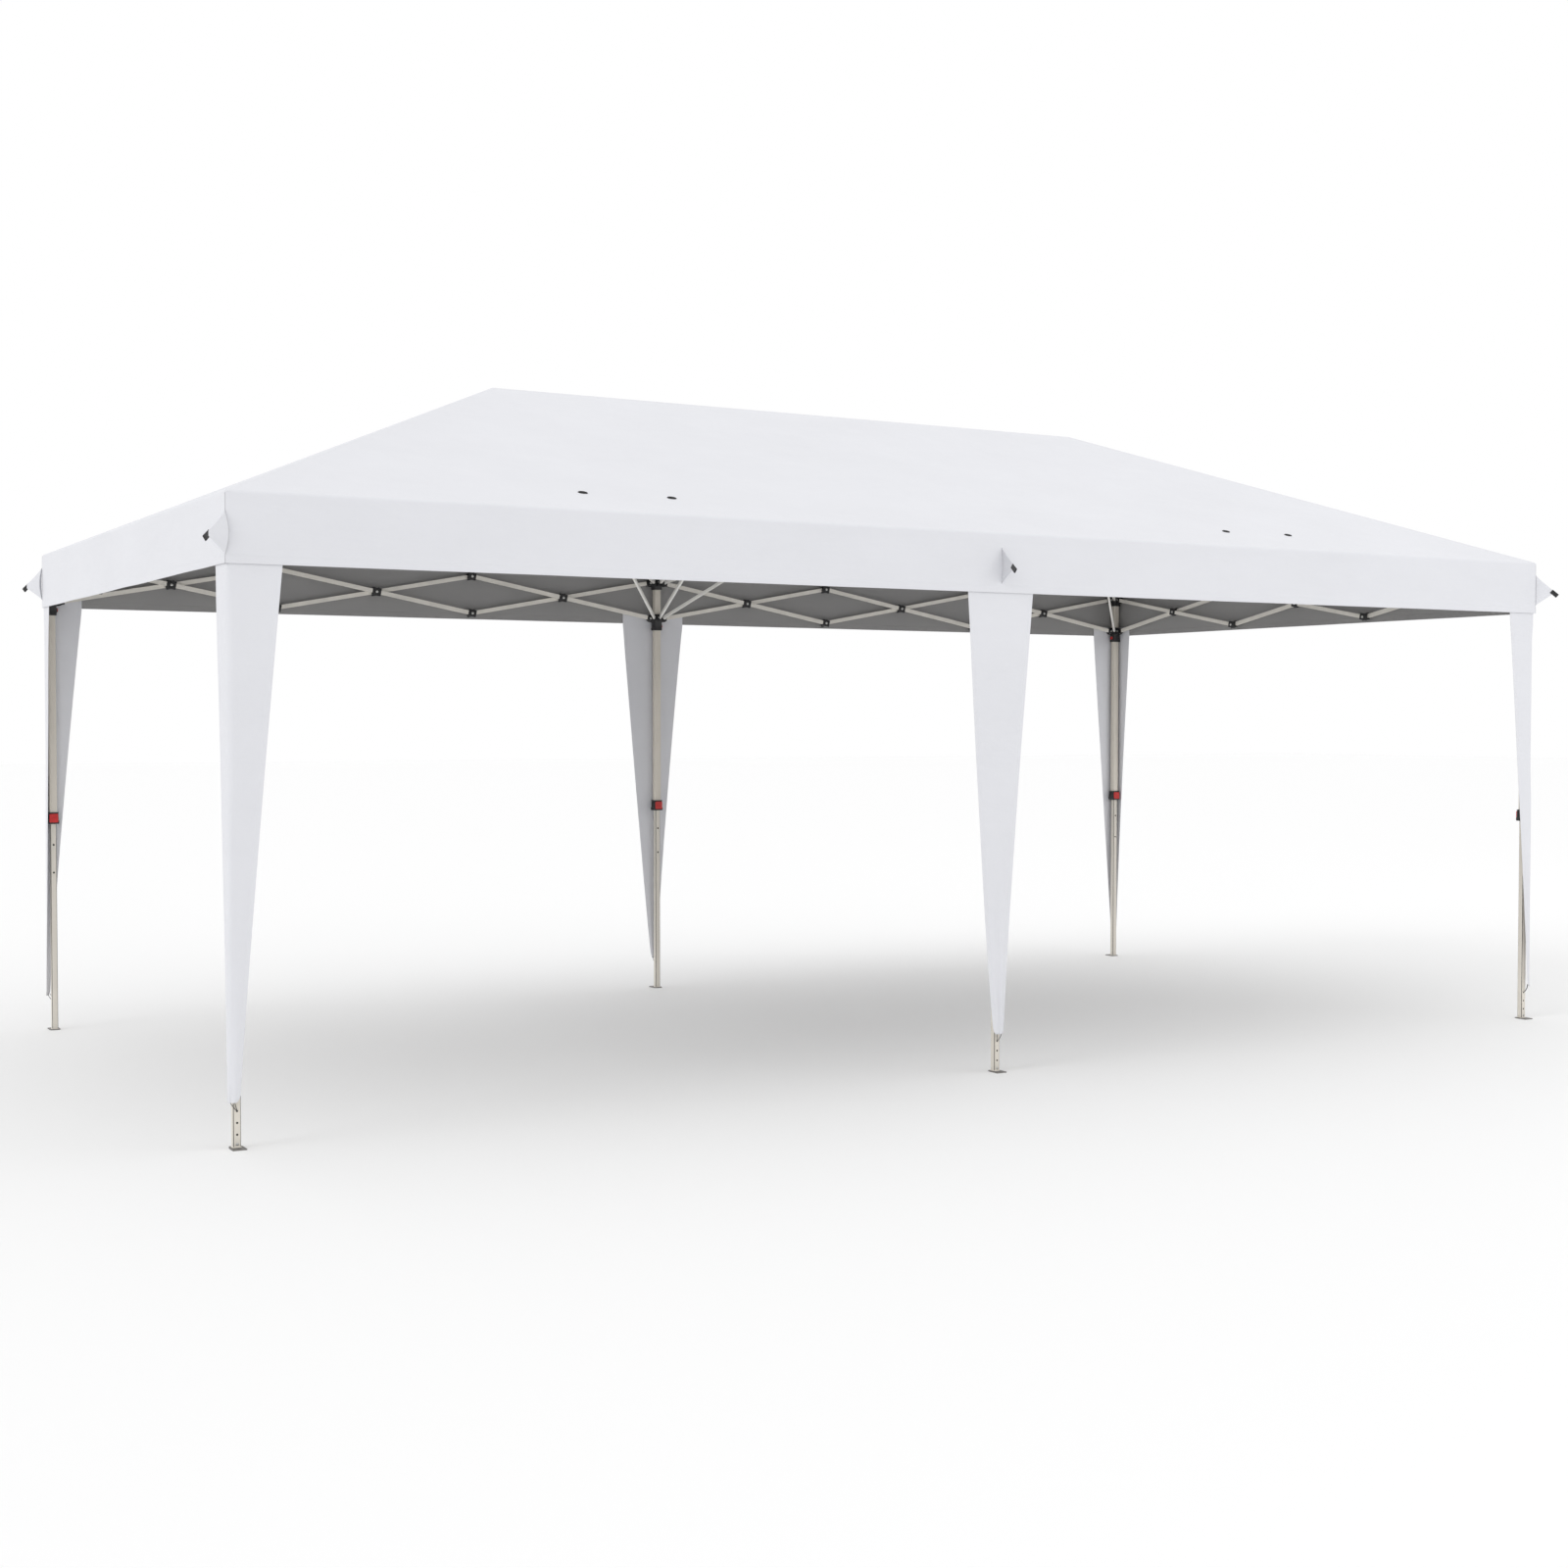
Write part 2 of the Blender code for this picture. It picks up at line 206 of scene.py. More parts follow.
def cloth_look(name, colour, inside=False):
    """Coated polyester: Oxford weave, soft creases, felled seams at the hips and a faint bloom of dust, with painted
    shade along the stitch lines and a painted shadow line at the valance corners and flap bases.
    """
    look = Look(name, colour, 0.62)
    look.shader.inputs["Sheen Weight"].default_value = 0.0 if inside else 0.12
    look.shader.inputs["Sheen Roughness"].default_value = 0.5
    look.shader.inputs["Specular IOR Level"].default_value = 0.35
    place, flat = look.point(), look.point("UV")
    weave = look.math("MAXIMUM", look.wave(flat, "X", 260.0, 0.6), look.wave(flat, "Y", 260.0, 0.6))
    broad = look.noise(look.stretch(place, (1.0, 1.0, 2.2)), 2.3, 3.0, 0.45)
    creases = look.noise(look.stretch(place, (1.2, 1.2, 4.0)), 6.5, 4.0, 0.55)
    seam = look.add("Attribute", {"attribute_name": "seam"}).outputs["Fac"]
    corner = look.add("Attribute", {"attribute_name": "corner"}).outputs["Fac"]
    felled = look.ramp(seam, [(0.0, 1.0), (0.011, 1.0), (0.0125, 0.0), (1.0, 0.0)])
    # Mask of the stitch lines: it darkens them as painted shade in their groove, and it shapes the groove's bump.
    stitch_groove = look.ramp(seam, [(0.0, 0.0), (0.008, 0.0), (0.0088, 1.0), (0.0102, 1.0), (0.011, 0.0)])
    # Painted shadow: a dark line along each valance corner and at the base of each guy flap, where the cloth meets in
    # a gap.
    shadow = look.ramp(corner, [(0.0, 1.0), (0.0016, 1.0), (0.0032, 0.0)])
    tone = look.ramp(broad, [(0.3, shade(colour, 0.985)), (0.7, shade(colour, 1.01))])
    dusty = look.ramp(look.noise(place, 14.0, 5.0, 0.6), [(0.42, 0.0), (0.86, 0.5)])
    tone = look.mix(look.math("MULTIPLY", dusty, 0.1), tone, shade(colour, 0.78))
    # Painted shade along the stitch lines.
    tone = look.mix(look.math("MULTIPLY", stitch_groove, 0.5), tone, shade(colour, 0.55))
    look.paint(look.mix(look.math("MULTIPLY", shadow, 0.55), tone, shade(colour, 0.35)))
    look.gloss(look.ramp(creases, [(0.3, 0.54), (0.7, 0.7)]))
    under = look.bump(creases, 0.004, 0.35)
    under = look.bump(look.math("SUBTRACT", felled, stitch_groove), 0.0009, 0.8, under)
    look.bump(weave, 0.00012, 0.45, under)
    return look.material


def coat_look(name, colour, roughness=0.42):
    """Powder coat on steel: orange peel, uneven gloss, small rubs where parts slide."""
    look = Look(name, colour, roughness)
    place = look.point()
    peel = look.noise(place, 620.0, 2.0, 0.5)
    broad = look.noise(look.stretch(place, (6.0, 6.0, 1.1)), 3.0, 4.0, 0.55)
    rubs = look.ramp(look.noise(look.stretch(place, (90.0, 90.0, 5.0)), 2.4, 5.0, 0.7), [(0.66, 0.0), (0.78, 1.0)])
    tone = look.ramp(broad, [(0.28, shade(colour, 0.93)), (0.72, shade(colour, 1.04))])
    look.paint(look.mix(look.math("MULTIPLY", rubs, 0.22), tone, shade(colour, 0.6)))
    look.gloss(look.ramp(broad, [(0.3, roughness - 0.08), (0.7, roughness + 0.1)]))
    look.shader.inputs["Coat Weight"].default_value = 0.18
    look.shader.inputs["Coat Roughness"].default_value = 0.25
    look.bump(peel, 0.00016, 0.5)
    return look.material


def plastic_look(name, colour, roughness=0.45):
    """Moulded nylon: fine spark-eroded grain and dull scuffs."""
    look = Look(name, colour, roughness)
    place = look.point()
    scuffs = look.ramp(look.noise(place, 46.0, 6.0, 0.65), [(0.45, 0.0), (0.75, 1.0)])
    worn = tuple(c * 1.6 + 0.012 for c in colour)
    look.paint(look.mix(look.math("MULTIPLY", scuffs, 0.35), colour, worn))
    look.gloss(look.ramp(scuffs, [(0.0, roughness), (1.0, min(1.0, roughness + 0.2))]))
    look.bump(look.noise(place, 1500.0, 2.0, 0.6), 0.00012, 0.5)
    return look.material


def metal_look(name, colour, roughness=0.34):
    """Zinc-plated steel with fine turning marks and dull patches."""
    look = Look(name, colour, roughness, 1.0)
    place = look.point()
    patches = look.noise(place, 160.0, 4.0, 0.6)
    look.paint(look.ramp(patches, [(0.3, shade(colour, 0.8)), (0.7, shade(colour, 1.1))]))
    look.gloss(look.ramp(patches, [(0.3, roughness - 0.08), (0.7, roughness + 0.14)]))
    look.bump(look.noise(look.stretch(place, (900.0, 900.0, 60.0)), 3.0, 2.0), 0.00006, 0.4)
    return look.material


def webbing_look(name, colour):
    """Woven nylon tape: ribs across it and a ribbed edge."""
    look = Look(name, colour, 0.8)
    look.shader.inputs["Sheen Weight"].default_value = 0.3
    place = look.point()
    ribs = look.wave(place, "DIAGONAL", 190.0, 1.0, 1.0)
    look.paint(look.ramp(ribs, [(0.2, shade(colour, 0.6)), (0.8, shade(colour, 1.9))]))
    look.bump(ribs, 0.0004, 0.8)
    return look.material


WHITE = (0.712, 0.718, 0.752)
ROOF = cloth_look("roof_cloth", WHITE)
# A darker copy of the roof cloth for the flaps at the middle legs: painted shade on flaps that face away from the
# light.
SHADED_FLAP_CLOTH = cloth_look("flap_cloth_painted_shade", shade(WHITE, 0.8))
# The cloth's underside is painted dark grey: painted shade under the roof.
INSIDE = cloth_look("cloth_underside_painted_shade", (0.315, 0.311, 0.31), inside=True)
TUBE = coat_look("beige_coat", (0.68, 0.635, 0.56))
INNER = coat_look("beige_coat_inner", (0.69, 0.65, 0.58), 0.38)
BAR = coat_look("bar_coat", (0.8, 0.77, 0.71))
RIB = coat_look("rib_coat", (0.8, 0.785, 0.75))
BLACK = plastic_look("black_nylon", (0.016, 0.016, 0.017))
RED = plastic_look("red_nylon", (0.5, 0.012, 0.012), 0.35)
ZINC = metal_look("zinc_plate", (0.62, 0.62, 0.6))
WEB = webbing_look("black_webbing", (0.012, 0.012, 0.013))
# Near black: the eyelets' dark rims, and painted shade in the eyelet holes and inside the leg tubes.
DARK_AND_SHADE = plastic_look("dark_rims_and_painted_shade", (0.01, 0.01, 0.01), 0.8)
# The foot plates are painted dark: painted shade on the thin plates at the floor.
PLATE = metal_look("plate_steel_painted_shade", (0.26, 0.25, 0.24), 0.5)


# ---- shapes


def block(size, bevel, segments=2):
    part = bmesh.new()
    bmesh.ops.create_cube(part, size=1, matrix=Matrix.Diagonal((*size, 1)))
    bmesh.ops.bevel(part, geom=part.edges[:], offset=bevel, segments=segments, profile=0.5, affect="EDGES")
    return part


def turned(profile, steps=20):
    """A shape turned about Z from (radius, height) points. Radius 0 closes an end."""
    part = bmesh.new()
    rings = []
    for radius, z in profile:
        if radius == 0:
            rings.append([part.verts.new((0, 0, z))])
            continue
        turns = [2 * pi * i / steps for i in range(steps)]
        rings.append([part.verts.new((radius * cos(t), radius * sin(t), z)) for t in turns])
    for low, high in zip(rings, rings[1:]):
        for i in range(steps):
            j = (i + 1) % steps
            quad = [low[i % len(low)], low[j % len(low)], high[j % len(high)], high[i % len(high)]]
            quad = list(dict.fromkeys(quad))
            if len(quad) > 2:
                part.faces.new(quad)
    bmesh.ops.recalc_face_normals(part, faces=part.faces)
    return part


def turned_ring(profile, steps=28):
    """A ring about Z from a closed outline of (radius, height) points."""
    turns = [2 * pi * i / steps for i in range(steps)]
    return skin([[(r * cos(turn), r * sin(turn), z) for r, z in profile] for turn in turns], closed=True)


def rounded_square(half, radius, z, steps=5):
    points = []
    for corner, (sx, sy) in enumerate(((1, 1), (-1, 1), (-1, -1), (1, -1))):
        for step in range(steps):
            turn = pi / 2 * (corner + step / (steps - 1))
            x = sx * (half - radius) + radius * cos(turn)
            y = sy * (half - radius) + radius * sin(turn)
            points.append((x, y, z))
    return points


def skin(rings, closed=False):
    """Joins rings of equally many points with quads, and caps both ends unless the rings close on themselves."""
    part = bmesh.new()
    made = [[part.verts.new(p) for p in ring] for ring in rings]
    pairs = list(zip(made, made[1:])) + ([(made[-1], made[0])] if closed else [])
    for low, high in pairs:
        for i in range(len(low)):
            j = (i + 1) % len(low)
            part.faces.new((low[i], low[j], high[j], high[i]))
    if not closed:
        part.faces.new(list(reversed(made[0])))
        part.faces.new(made[-1])
    bmesh.ops.recalc_face_normals(part, faces=part.faces)
    return part


def stack(rows, closed=False):
    """A square shape from (half width, corner radius, height) rows. A closed one is hollow."""
    return skin([rounded_square(*row) for row in rows], closed)


def square_tube(half, radius, bore, bore_radius, low, high, ease=0.0007):
    """A square tube with rounded corners and eased ends."""
    outside = [(half, radius, low + ease), (half, radius, high - ease), (half - ease, radius, high)]
    wide = bore + ease * 0.6
    inside = [(wide, bore_radius, high), (bore, bore_radius, high - ease), (bore, bore_radius, low + ease)]
    return stack([*outside, *inside, (wide, bore_radius, low), (half - ease, radius, low)], closed=True)


def rivet(radius=0.0055, height=0.0028):
    """A domed head that stands on Z = 0."""
    arc = [pi / 2 * i / 4 for i in range(5)]
    profile = [(0, -0.001), (radius, -0.001), (radius, height * 0.25)]
    profile += [(radius * cos(a), height * (0.25 + 0.75 * sin(a))) for a in arc[1:4]]
    return turned([*profile, (0, height)], 16)


class Piece:
    """Collects closed shapes into one object."""

    def __init__(self):
        self.shape = bmesh.new()

    def put(self, part, place=None):
        if place is not None:
            part.transform(place)
            if place.determinant() < 0:
                bmesh.ops.reverse_faces(part, faces=part.faces)
        kept = bpy.data.meshes.new("part")
        part.to_mesh(kept)
        part.free()
        self.shape.from_mesh(kept)
        bpy.data.meshes.remove(kept)
        return self

    def mesh(self, name):
        data = bpy.data.meshes.new(name)
        self.shape.to_mesh(data)
        self.shape.free()
        return data

    def make(self, name, material, body, slot=None, sharp=32):
        materials = material if isinstance(material, list) else [material]
        return finish_piece(name, self.mesh(name), materials, body, sharp)


def linked(name, data):
    made = bpy.data.objects.new(name, data)
    bpy.context.scene.collection.objects.link(made)
    return made


def finish_piece(name, data, materials, body, sharp=None):
    for material in materials:
        data.materials.append(material)
    data.polygons.foreach_set("use_smooth", [True] * len(data.polygons))
    if sharp:
        data.set_sharp_from_angle(angle=radians(sharp))
    piece = linked(name, data)
    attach(piece, body)
    return piece


def facing(along, origin=Vector()):
    """A frame at origin whose Z points along, with X kept as level as it can be."""
    z = Vector(along).normalized()
    x = UP.cross(z) if abs(z.z) < 0.99 else Vector((1, 0, 0))
    x.normalize()
    return frame_of(x, z.cross(x), z, origin)


def frame_of(x, y, z, origin):
    return moved(origin) @ Matrix((x, y, z)).transposed().to_4x4()


# ---- the frame


def directions_from(leg):
    """The ways from a leg along its trusses."""
    others = [end if leg == start else start for start, end in TRUSSES.values() if leg in (start, end)]
    return [(LEGS[other] - LEGS[leg]).normalized() for other in others]


def outward_y(leg):
    return copysign(1, LEGS[leg].y)


def at_corner(leg):
    return leg not in ("front_middle", "rear_middle")


def lugs(black, metal, leg, pivot_z):
    """Forked ears along each truss: two cheeks with round ends and a riveted pin."""
    foot = LEGS[leg]
    turns = [-pi / 2 + pi * i / 8 for i in range(9)]
    outline = [(0.033 + 0.016 * cos(turn), 0.0185 * sin(turn)) for turn in turns]
    outline = [(0.018, -0.0185), *outline, (0.018, 0.0185)]
    for along in directions_from(leg):
        across = UP.cross(along)
        for side in (-1, 1):
            cheek = [
                [foot + along * a + across * side * w + UP * (pivot_z + h) for a, h in outline]
                for w in (0.0136, 0.0168)
            ]
            black.put(skin(cheek))
            place = facing(across * side, foot + along * 0.04 + across * side * 0.0166 + UP * pivot_z)
            metal.put(rivet(), place)


def rib_fork(black, metal, leg, z, cheek, cheek_at, pin_at):
    """Two cheeks with a pin, towards the inside of the frame, at (sideways, height) places. Gives the fork's frame."""
    foot = LEGS[leg]
    x = -copysign(1, foot.x) if at_corner(leg) else 0
    inward = Vector((x, -outward_y(leg), 0)).normalized()
    fork = frame_of(inward, UP.cross(inward), UP, foot + inward * 0.034 + UP * z)
    for side in (-1, 1):
        black.put(block(cheek, 0.001), fork @ moved((0, side * cheek_at[0], cheek_at[1])))
        head = fork @ moved((0.01, side * pin_at[0], pin_at[1]))
        metal.put(rivet(0.004), head @ Matrix.Rotation(-side * pi / 2, 4, "X"))
    return fork


def make_upper(leg):
    """Outer tube with its crown, and the collar and button of the leg lock."""
    foot, body = LEGS[leg], "leg_" + leg
    at = moved(foot)
    tube = Piece().put(square_tube(OUTER_HALF, 0.0042, OUTER_BORE, 0.003, OUTER_FOOT, OUTER_TOP), at)
    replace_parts(tube.make("outer_tube_" + leg, TUBE, body, "outer_tube"), "upper_leg_" + leg)

    black, metal = Piece(), Piece()
    # Crown: a capped socket with a stepped lid
    crown = [
        (0.0205, 0.005, 1.988), (0.0215, 0.005, 1.99), (0.0215, 0.005, 2.03),
        (0.0205, 0.005, 2.0335), (0.0165, 0.004, 2.0345), (0.0155, 0.004, 2.038),
    ]
    black.put(stack(crown), at)
    lugs(black, metal, leg, UPPER_Z)
    fork = rib_fork(black, metal, leg, UPPER_Z, (0.034, 0.004, 0.03), (0.0096, 0.001), (0.0114, 0.004))
    black.put(block((0.014, 0.022, 0.028), 0.002), fork @ moved((-0.008, 0, 0.001)))
    # Collar of the leg lock: a flared socket with a lip and ribs on the three sides without a button
    collar = [
        (0.0215, 0.005, 0.89), (0.0235, 0.0055, 0.8925), (0.0235, 0.0055, 0.903), (0.0215, 0.005, 0.9055),
        (0.0205, 0.005, 0.934), (0.0215, 0.005, 0.9365), (0.0215, 0.005, 0.94), (0.0168, 0.0045, 0.94),
        (0.016, 0.004, 0.938), (0.016, 0.004, 0.9005), (0.0131, 0.004, 0.8995), (0.0131, 0.004, 0.89),
    ]
    black.put(stack(collar, closed=True), at)
    face = Vector((0, -outward_y(leg), 0))
    for along in (Vector((1, 0, 0)), Vector((-1, 0, 0)), -face):
        across = UP.cross(along)
        for shift in (-0.009, 0.0, 0.009):
            centre = foot + along * 0.0211 + across * shift + UP * 0.9195
            black.put(block((0.0022, 0.0022, 0.026), 0.0006, 1), frame_of(along, across, UP, centre))
    black.make("leg_fittings_" + leg, BLACK, body, "black_plastic")
    metal.make("leg_rivets_" + leg, ZINC, body)
    cap = [(0.0182, 0.0), (0.0186, 0.0008), (0.0186, 0.0036), (0.0176, 0.0048), (0.015, 0.0052)]
    place = facing(face, foot + face * 0.0203 + UP * BUTTON_Z)
    button = Piece().put(stack([(half, 0.0045, z) for half, z in cap]), place)
    for shift in (-0.007, 0.0, 0.007):
        button.put(block((0.02, 0.0022, 0.0016), 0.0006), place @ moved((0, shift, 0.0056)))
    button.make("lock_button_" + leg, RED, body)


def make_slider(leg):
    foot, body = LEGS[leg], "slider_" + leg
    black, metal, red = Piece(), Piece(), Piece()
    sleeve = [
        (0.02, 0.005, 1.786), (0.0215, 0.0055, 1.788), (0.0215, 0.0055, 1.797), (0.0202, 0.005, 1.799),
        (0.0202, 0.005, 1.822), (0.0215, 0.0055, 1.825), (0.0215, 0.0055, 1.864), (0.0205, 0.005, 1.866),
        (0.0175, 0.0045, 1.866), (0.0168, 0.0042, 1.8645), (0.0168, 0.0042, 1.7875), (0.0175, 0.0045, 1.786),
    ]
    black.put(stack(sleeve, closed=True), moved(foot))
    lugs(black, metal, leg, LOWER_Z)
    rib_fork(black, metal, leg, 1.85, (0.03, 0.003, 0.022), (0.008, 0), (0.0094, 0))
    face = Vector((-copysign(1, foot.x) if at_corner(leg) else 1, 0, 0))
    for into, part, out, z in (
        (black, block((0.008, 0.026, 0.022), 0.002), 0.0205, 1.8085),
        (red, block((0.006, 0.018, 0.014), 0.0018, 3), 0.0245, 1.8085),
        (red, block((0.003, 0.02, 0.004), 0.001), 0.0265, 1.8045),
    ):
        into.put(part, frame_of(face, UP.cross(face), UP, foot + face * out + UP * z))
    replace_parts(black.make("slider_body_" + leg, BLACK, body, "black_plastic"), body)
    metal.make("slider_rivets_" + leg, ZINC, body)
    red.make("slider_release_" + leg, RED, body)


def holed_tube():
    """The inner tube for a leg whose outward side is -Y, with its row of holes cut through one wall."""
    piece = Piece().put(square_tube(INNER_HALF, 0.0034, INNER_BORE, 0.0024, INNER_FOOT, INNER_TOP))
    holes = Piece()
    for side, heights, radius in (
        (1, (0.92, 0.8, 0.68), 0.0042),
        (-1, (TIE_HOLE_Z, 0.081, 0.044), 0.0034),
        (-1, (0.014,), 0.0048),
    ):
        for z in heights:
            drill = turned([(0, -0.004), (radius, -0.004), (radius, 0.004), (0, 0.004)], 20)
            holes.put(drill, facing((0, side, 0), Vector((0, side * INNER_HALF, z))))
    made = tube, cutter = [linked("drilled", each.mesh("drilled")) for each in (piece, holes)]
    drill = tube.modifiers.new("drill", "BOOLEAN")
    drill.operation, drill.solver, drill.object = "DIFFERENCE", "EXACT", cutter
    graph = bpy.context.evaluated_depsgraph_get()
    result = bpy.data.meshes.new_from_object(tube.evaluated_get(graph))
    for each in made:
        bpy.data.objects.remove(each, do_unlink=True)
    # The faces inside the tube and its holes take the second, dark material: the bore is bare steel, and its
    # near-black colour is painted shade, so that the holes look dark.
    for face in result.polygons:
        middle = face.center
        face.material_index = int(max(abs(middle.x), abs(middle.y)) < 0.0122 and 0.004 < middle.z < 1.249)
    return result


def make_lower(leg, master):
    """Inner tube on its foot plate, which has a stake hole, eased edges and a weld bead round the tube."""
    foot, side = LEGS[leg], outward_y(leg)
    place = moved(foot) @ Matrix.Diagonal((1, -side, 1, 1))
    part = bmesh.new()
    part.from_mesh(master)
    piece = Piece().put(part, place)
    turns = [2 * pi * (i + 0.5) / 28 for i in range(28)]
    outer, inner = [], []
    for z, ease, hole in ((0.0, 0.0, 0.006), (0.0034, 0.0, 0.006), (0.004, 0.0006, 0.0064)):
        inner.append([(hole * cos(turn), STAKE_Y + hole * sin(turn), z) for turn in turns])
        outer.append([plate_edge(turn, ease, z) for turn in turns])
    plate = skin([*outer, *reversed(inner)], closed=True)
    for face in plate.faces:
        face.material_index = 2
    piece.put(plate, place)
    piece.put(stack([(0.015, 0.005, 0.003), (0.0146, 0.005, 0.0048), (0.0122, 0.004, 0.0066)]), place)
    made = piece.make("inner_tube_" + leg, [INNER, DARK_AND_SHADE, PLATE], "inner_" + leg, "inner_tube")
    cap = turned([(0, -0.0022), (0.005, -0.0022), (0.005, -0.0012), (0.004, -0.0008), (0, -0.0006)], 20)
    plug = Piece().put(cap, facing((0, side, 0), foot + Vector((0, side * INNER_HALF, 0.014))))
    plug.make("foot_plug_" + leg, ZINC, "inner_" + leg)
    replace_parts(made, "lower_leg_" + leg)


def plate_edge(turn, ease, z):
    """Where a ray from the stake hole meets the foot plate's outline."""
    x, y = cos(turn), sin(turn)
    reach = [(0.022 - ease) / abs(x)] if x else []
    if y:
        edge = 0.02 - ease if y > 0 else ease - 0.045
        reach.append((edge - STAKE_Y) / y)
    far = min(reach)
    return (x * far, STAKE_Y + y * far, z)


def bar_fittings(truss, step, letter):
    """Moulded end and centre blocks round a bar, each half in the bar's own layer, with its rivets."""
    first, last = (LEGS[leg] for leg in TRUSSES[truss])
    along = (last - first).normalized()
    gap = ((last - first).length - 3 * SPAN) / 2
    through = along.cross(UP).normalized()
    falls = (letter == "a") == (step % 2 == 0)
    slope = -TILT if falls else TILT
    run = along * cos(slope) + UP * sin(slope)
    rise = through.cross(run)
    face = run.cross(rise)
    layer = 1 if falls else -1
    middle = first + along * (gap + (step + 0.5) * SPAN) + UP * (UPPER_Z + LOWER_Z) / 2
    name = f"{truss}_bar_{step + 1}{letter}"
    black, metal = Piece(), Piece()
    outer, inner = layer * (LAYER + BAR_T / 2 + 0.0016), layer * 0.0004
    depth = abs(outer - inner)
    end = (0.04, 0.0335)
    for where, size in ((0.0, (0.042, 0.036)), (-BAR_LENGTH / 2, end), (BAR_LENGTH / 2, end)):
        centre = middle + run * where
        if (step == 0 and where < 0) or (step == 2 and where > 0):
            # This end hangs between the lugs of a leg
            spot = centre + run * copysign(0.001, -where) + through * layer * LAYER
            black.put(block((0.03, 0.0285, BAR_T + 0.0006), 0.0014), frame_of(run, rise, face, spot))
            continue
        black.put(block((*size, depth), 0.0022), frame_of(run, rise, face, centre + through * (inner + outer) / 2))
        lip = frame_of(run, rise, face, centre + through * (outer - layer * 0.0002))
        black.put(block((size[0] * 0.74, size[1] * 0.7, 0.0014), 0.0006, 1), lip)
        metal.put(rivet(0.0062, 0.0026), facing(through * layer, centre + through * (outer + layer * 0.0004)))
    black.make("blocks_" + name, BLACK, name, "black_plastic")
    metal.make("rivets_" + name, ZINC, name)


def beam(start, end, width, height):
    along = end - start
    length = along.length
    along.normalize()
    side = UP.cross(along).normalized()
    part = block((length, width, height), 0.0022, 3)
    part.transform(frame_of(along, side, along.cross(side), (start + end) / 2))
    return part


def draw_in(piece):
    """Gives a roof part its own copy of its mesh."""
    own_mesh(piece)


def make_rib(hub, centre, leg):
    """A roof rib with its stretcher and the joints at its knee and at the hub."""
    inward = (centre - LEGS[leg]).normalized()
    across = UP.cross(inward)
    start = LEGS[leg] + inward * RIB_START + UP * RIB_START_Z
    end = centre - inward * RIB_END + UP * RIB_END_Z
    run = (centre - LEGS[leg]).length - RIB_START - RIB_END
    knee = start.lerp(end, (KNEE_OUT - RIB_START) / run)
    steel, black, metal = Piece(), Piece(), Piece()
    steel.put(beam(start, end, 0.014, 0.02))
    steel.put(beam(LEGS[leg] + inward * 0.034 + UP * 1.848, knee - UP * 0.012, 0.0112, 0.016))
    slope = (end - start).normalized()
    joint = frame_of(slope, across, slope.cross(across), knee)
    for turn in (-1, 1):
        black.put(block((0.046, 0.003, 0.034), 0.0012), joint @ moved((0, turn * 0.0086, -0.006)))
        for x, z in ((-0.013, 0.004), (0.0, -0.016)):
            metal.put(rivet(0.004, 0.002), facing(across * turn, joint @ Vector((x, turn * 0.0098, z))))
    tip = frame_of(slope, across, slope.cross(across), end - slope * 0.02)
    black.put(block((0.04, 0.0172, 0.0232), 0.002), tip)
    name, body = f"{hub}_{leg}", "leg_" + leg
    rib = steel.make("rib_" + name, RIB, body, "rib_steel")
    joints = black.make("rib_joint_" + name, BLACK, body, "black_plastic")
    for piece in (rib, joints, metal.make("rib_rivets_" + name, ZINC, body)):
        draw_in(piece)
    if leg == "rear_middle":
        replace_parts(rib, "roof_ribs_" + hub)


def make_hub(hub, centre, legs):
    """Domed hub plate over a round body, with forks for the ribs."""
    body = [
        (0, 2.57), (0.02, 2.57), (0.024, 2.574), (0.024, 2.586), (0.04, 2.59), (0.044, 2.594), (0.044, 2.618),
        (0.04, 2.623), (0.03, 2.627), (0.03, 2.636), (0.022, 2.642), (0.01, 2.645), (0, 2.6455),
    ]
    black = Piece().put(turned(body, 32), moved(centre))
    for leg in legs:
        outward = (LEGS[leg] - centre).normalized()
        across = UP.cross(outward)
        for side in (-1, 1):
            spot = centre + outward * 0.046 + across * side * 0.0112 + UP * 2.603
            black.put(block((0.026, 0.003, 0.026), 0.001), frame_of(outward, across, UP, spot))
    made = black.make("hub_" + hub, BLACK, "leg_rear_middle", "black_plastic")
    draw_in(made)


# ---- the cloth


def spread(low, high, steps):
    """Even steps from low, which is left out, to high."""
    return [low + (high - low) * i / steps for i in range(1, steps + 1)]


def bars(truss, steps, letter):
    return [f"{truss}_bar_{step}{letter}" for step in steps]


SLOPE = (RIDGE_Z - EAVE_Z) / Y_OUT
SLANT = atan(SLOPE)
ROLL_Z = EAVE_Z + SLOPE * ROLL - ROLL * hypot(1, SLOPE)
LONG, SHORT = 2 * X_OUT, 2 * Y_OUT
# The strips of cloth end here, in metres from a corner
FIRST, SECOND = 0.98, 1.92
HALF_STEPS = [0.07 * i for i in range(15)] + spread(FIRST, Y_OUT, 7)
# Each side: its first corner, the way along it, the way in from it, its length, and where its ripples start
SIDES = {
    "front": ((-X_OUT, -Y_OUT, 0), (1, 0, 0), (0, 1, 0), LONG, 0.3),
    "rear": ((X_OUT, Y_OUT, 0), (-1, 0, 0), (0, -1, 0), LONG, 1.9),
    "left": ((-X_OUT, Y_OUT, 0), (0, -1, 0), (1, 0, 0), SHORT, 2.6),
    "right": ((X_OUT, -Y_OUT, 0), (0, 1, 0), (-1, 0, 0), SHORT, 4.0),
}
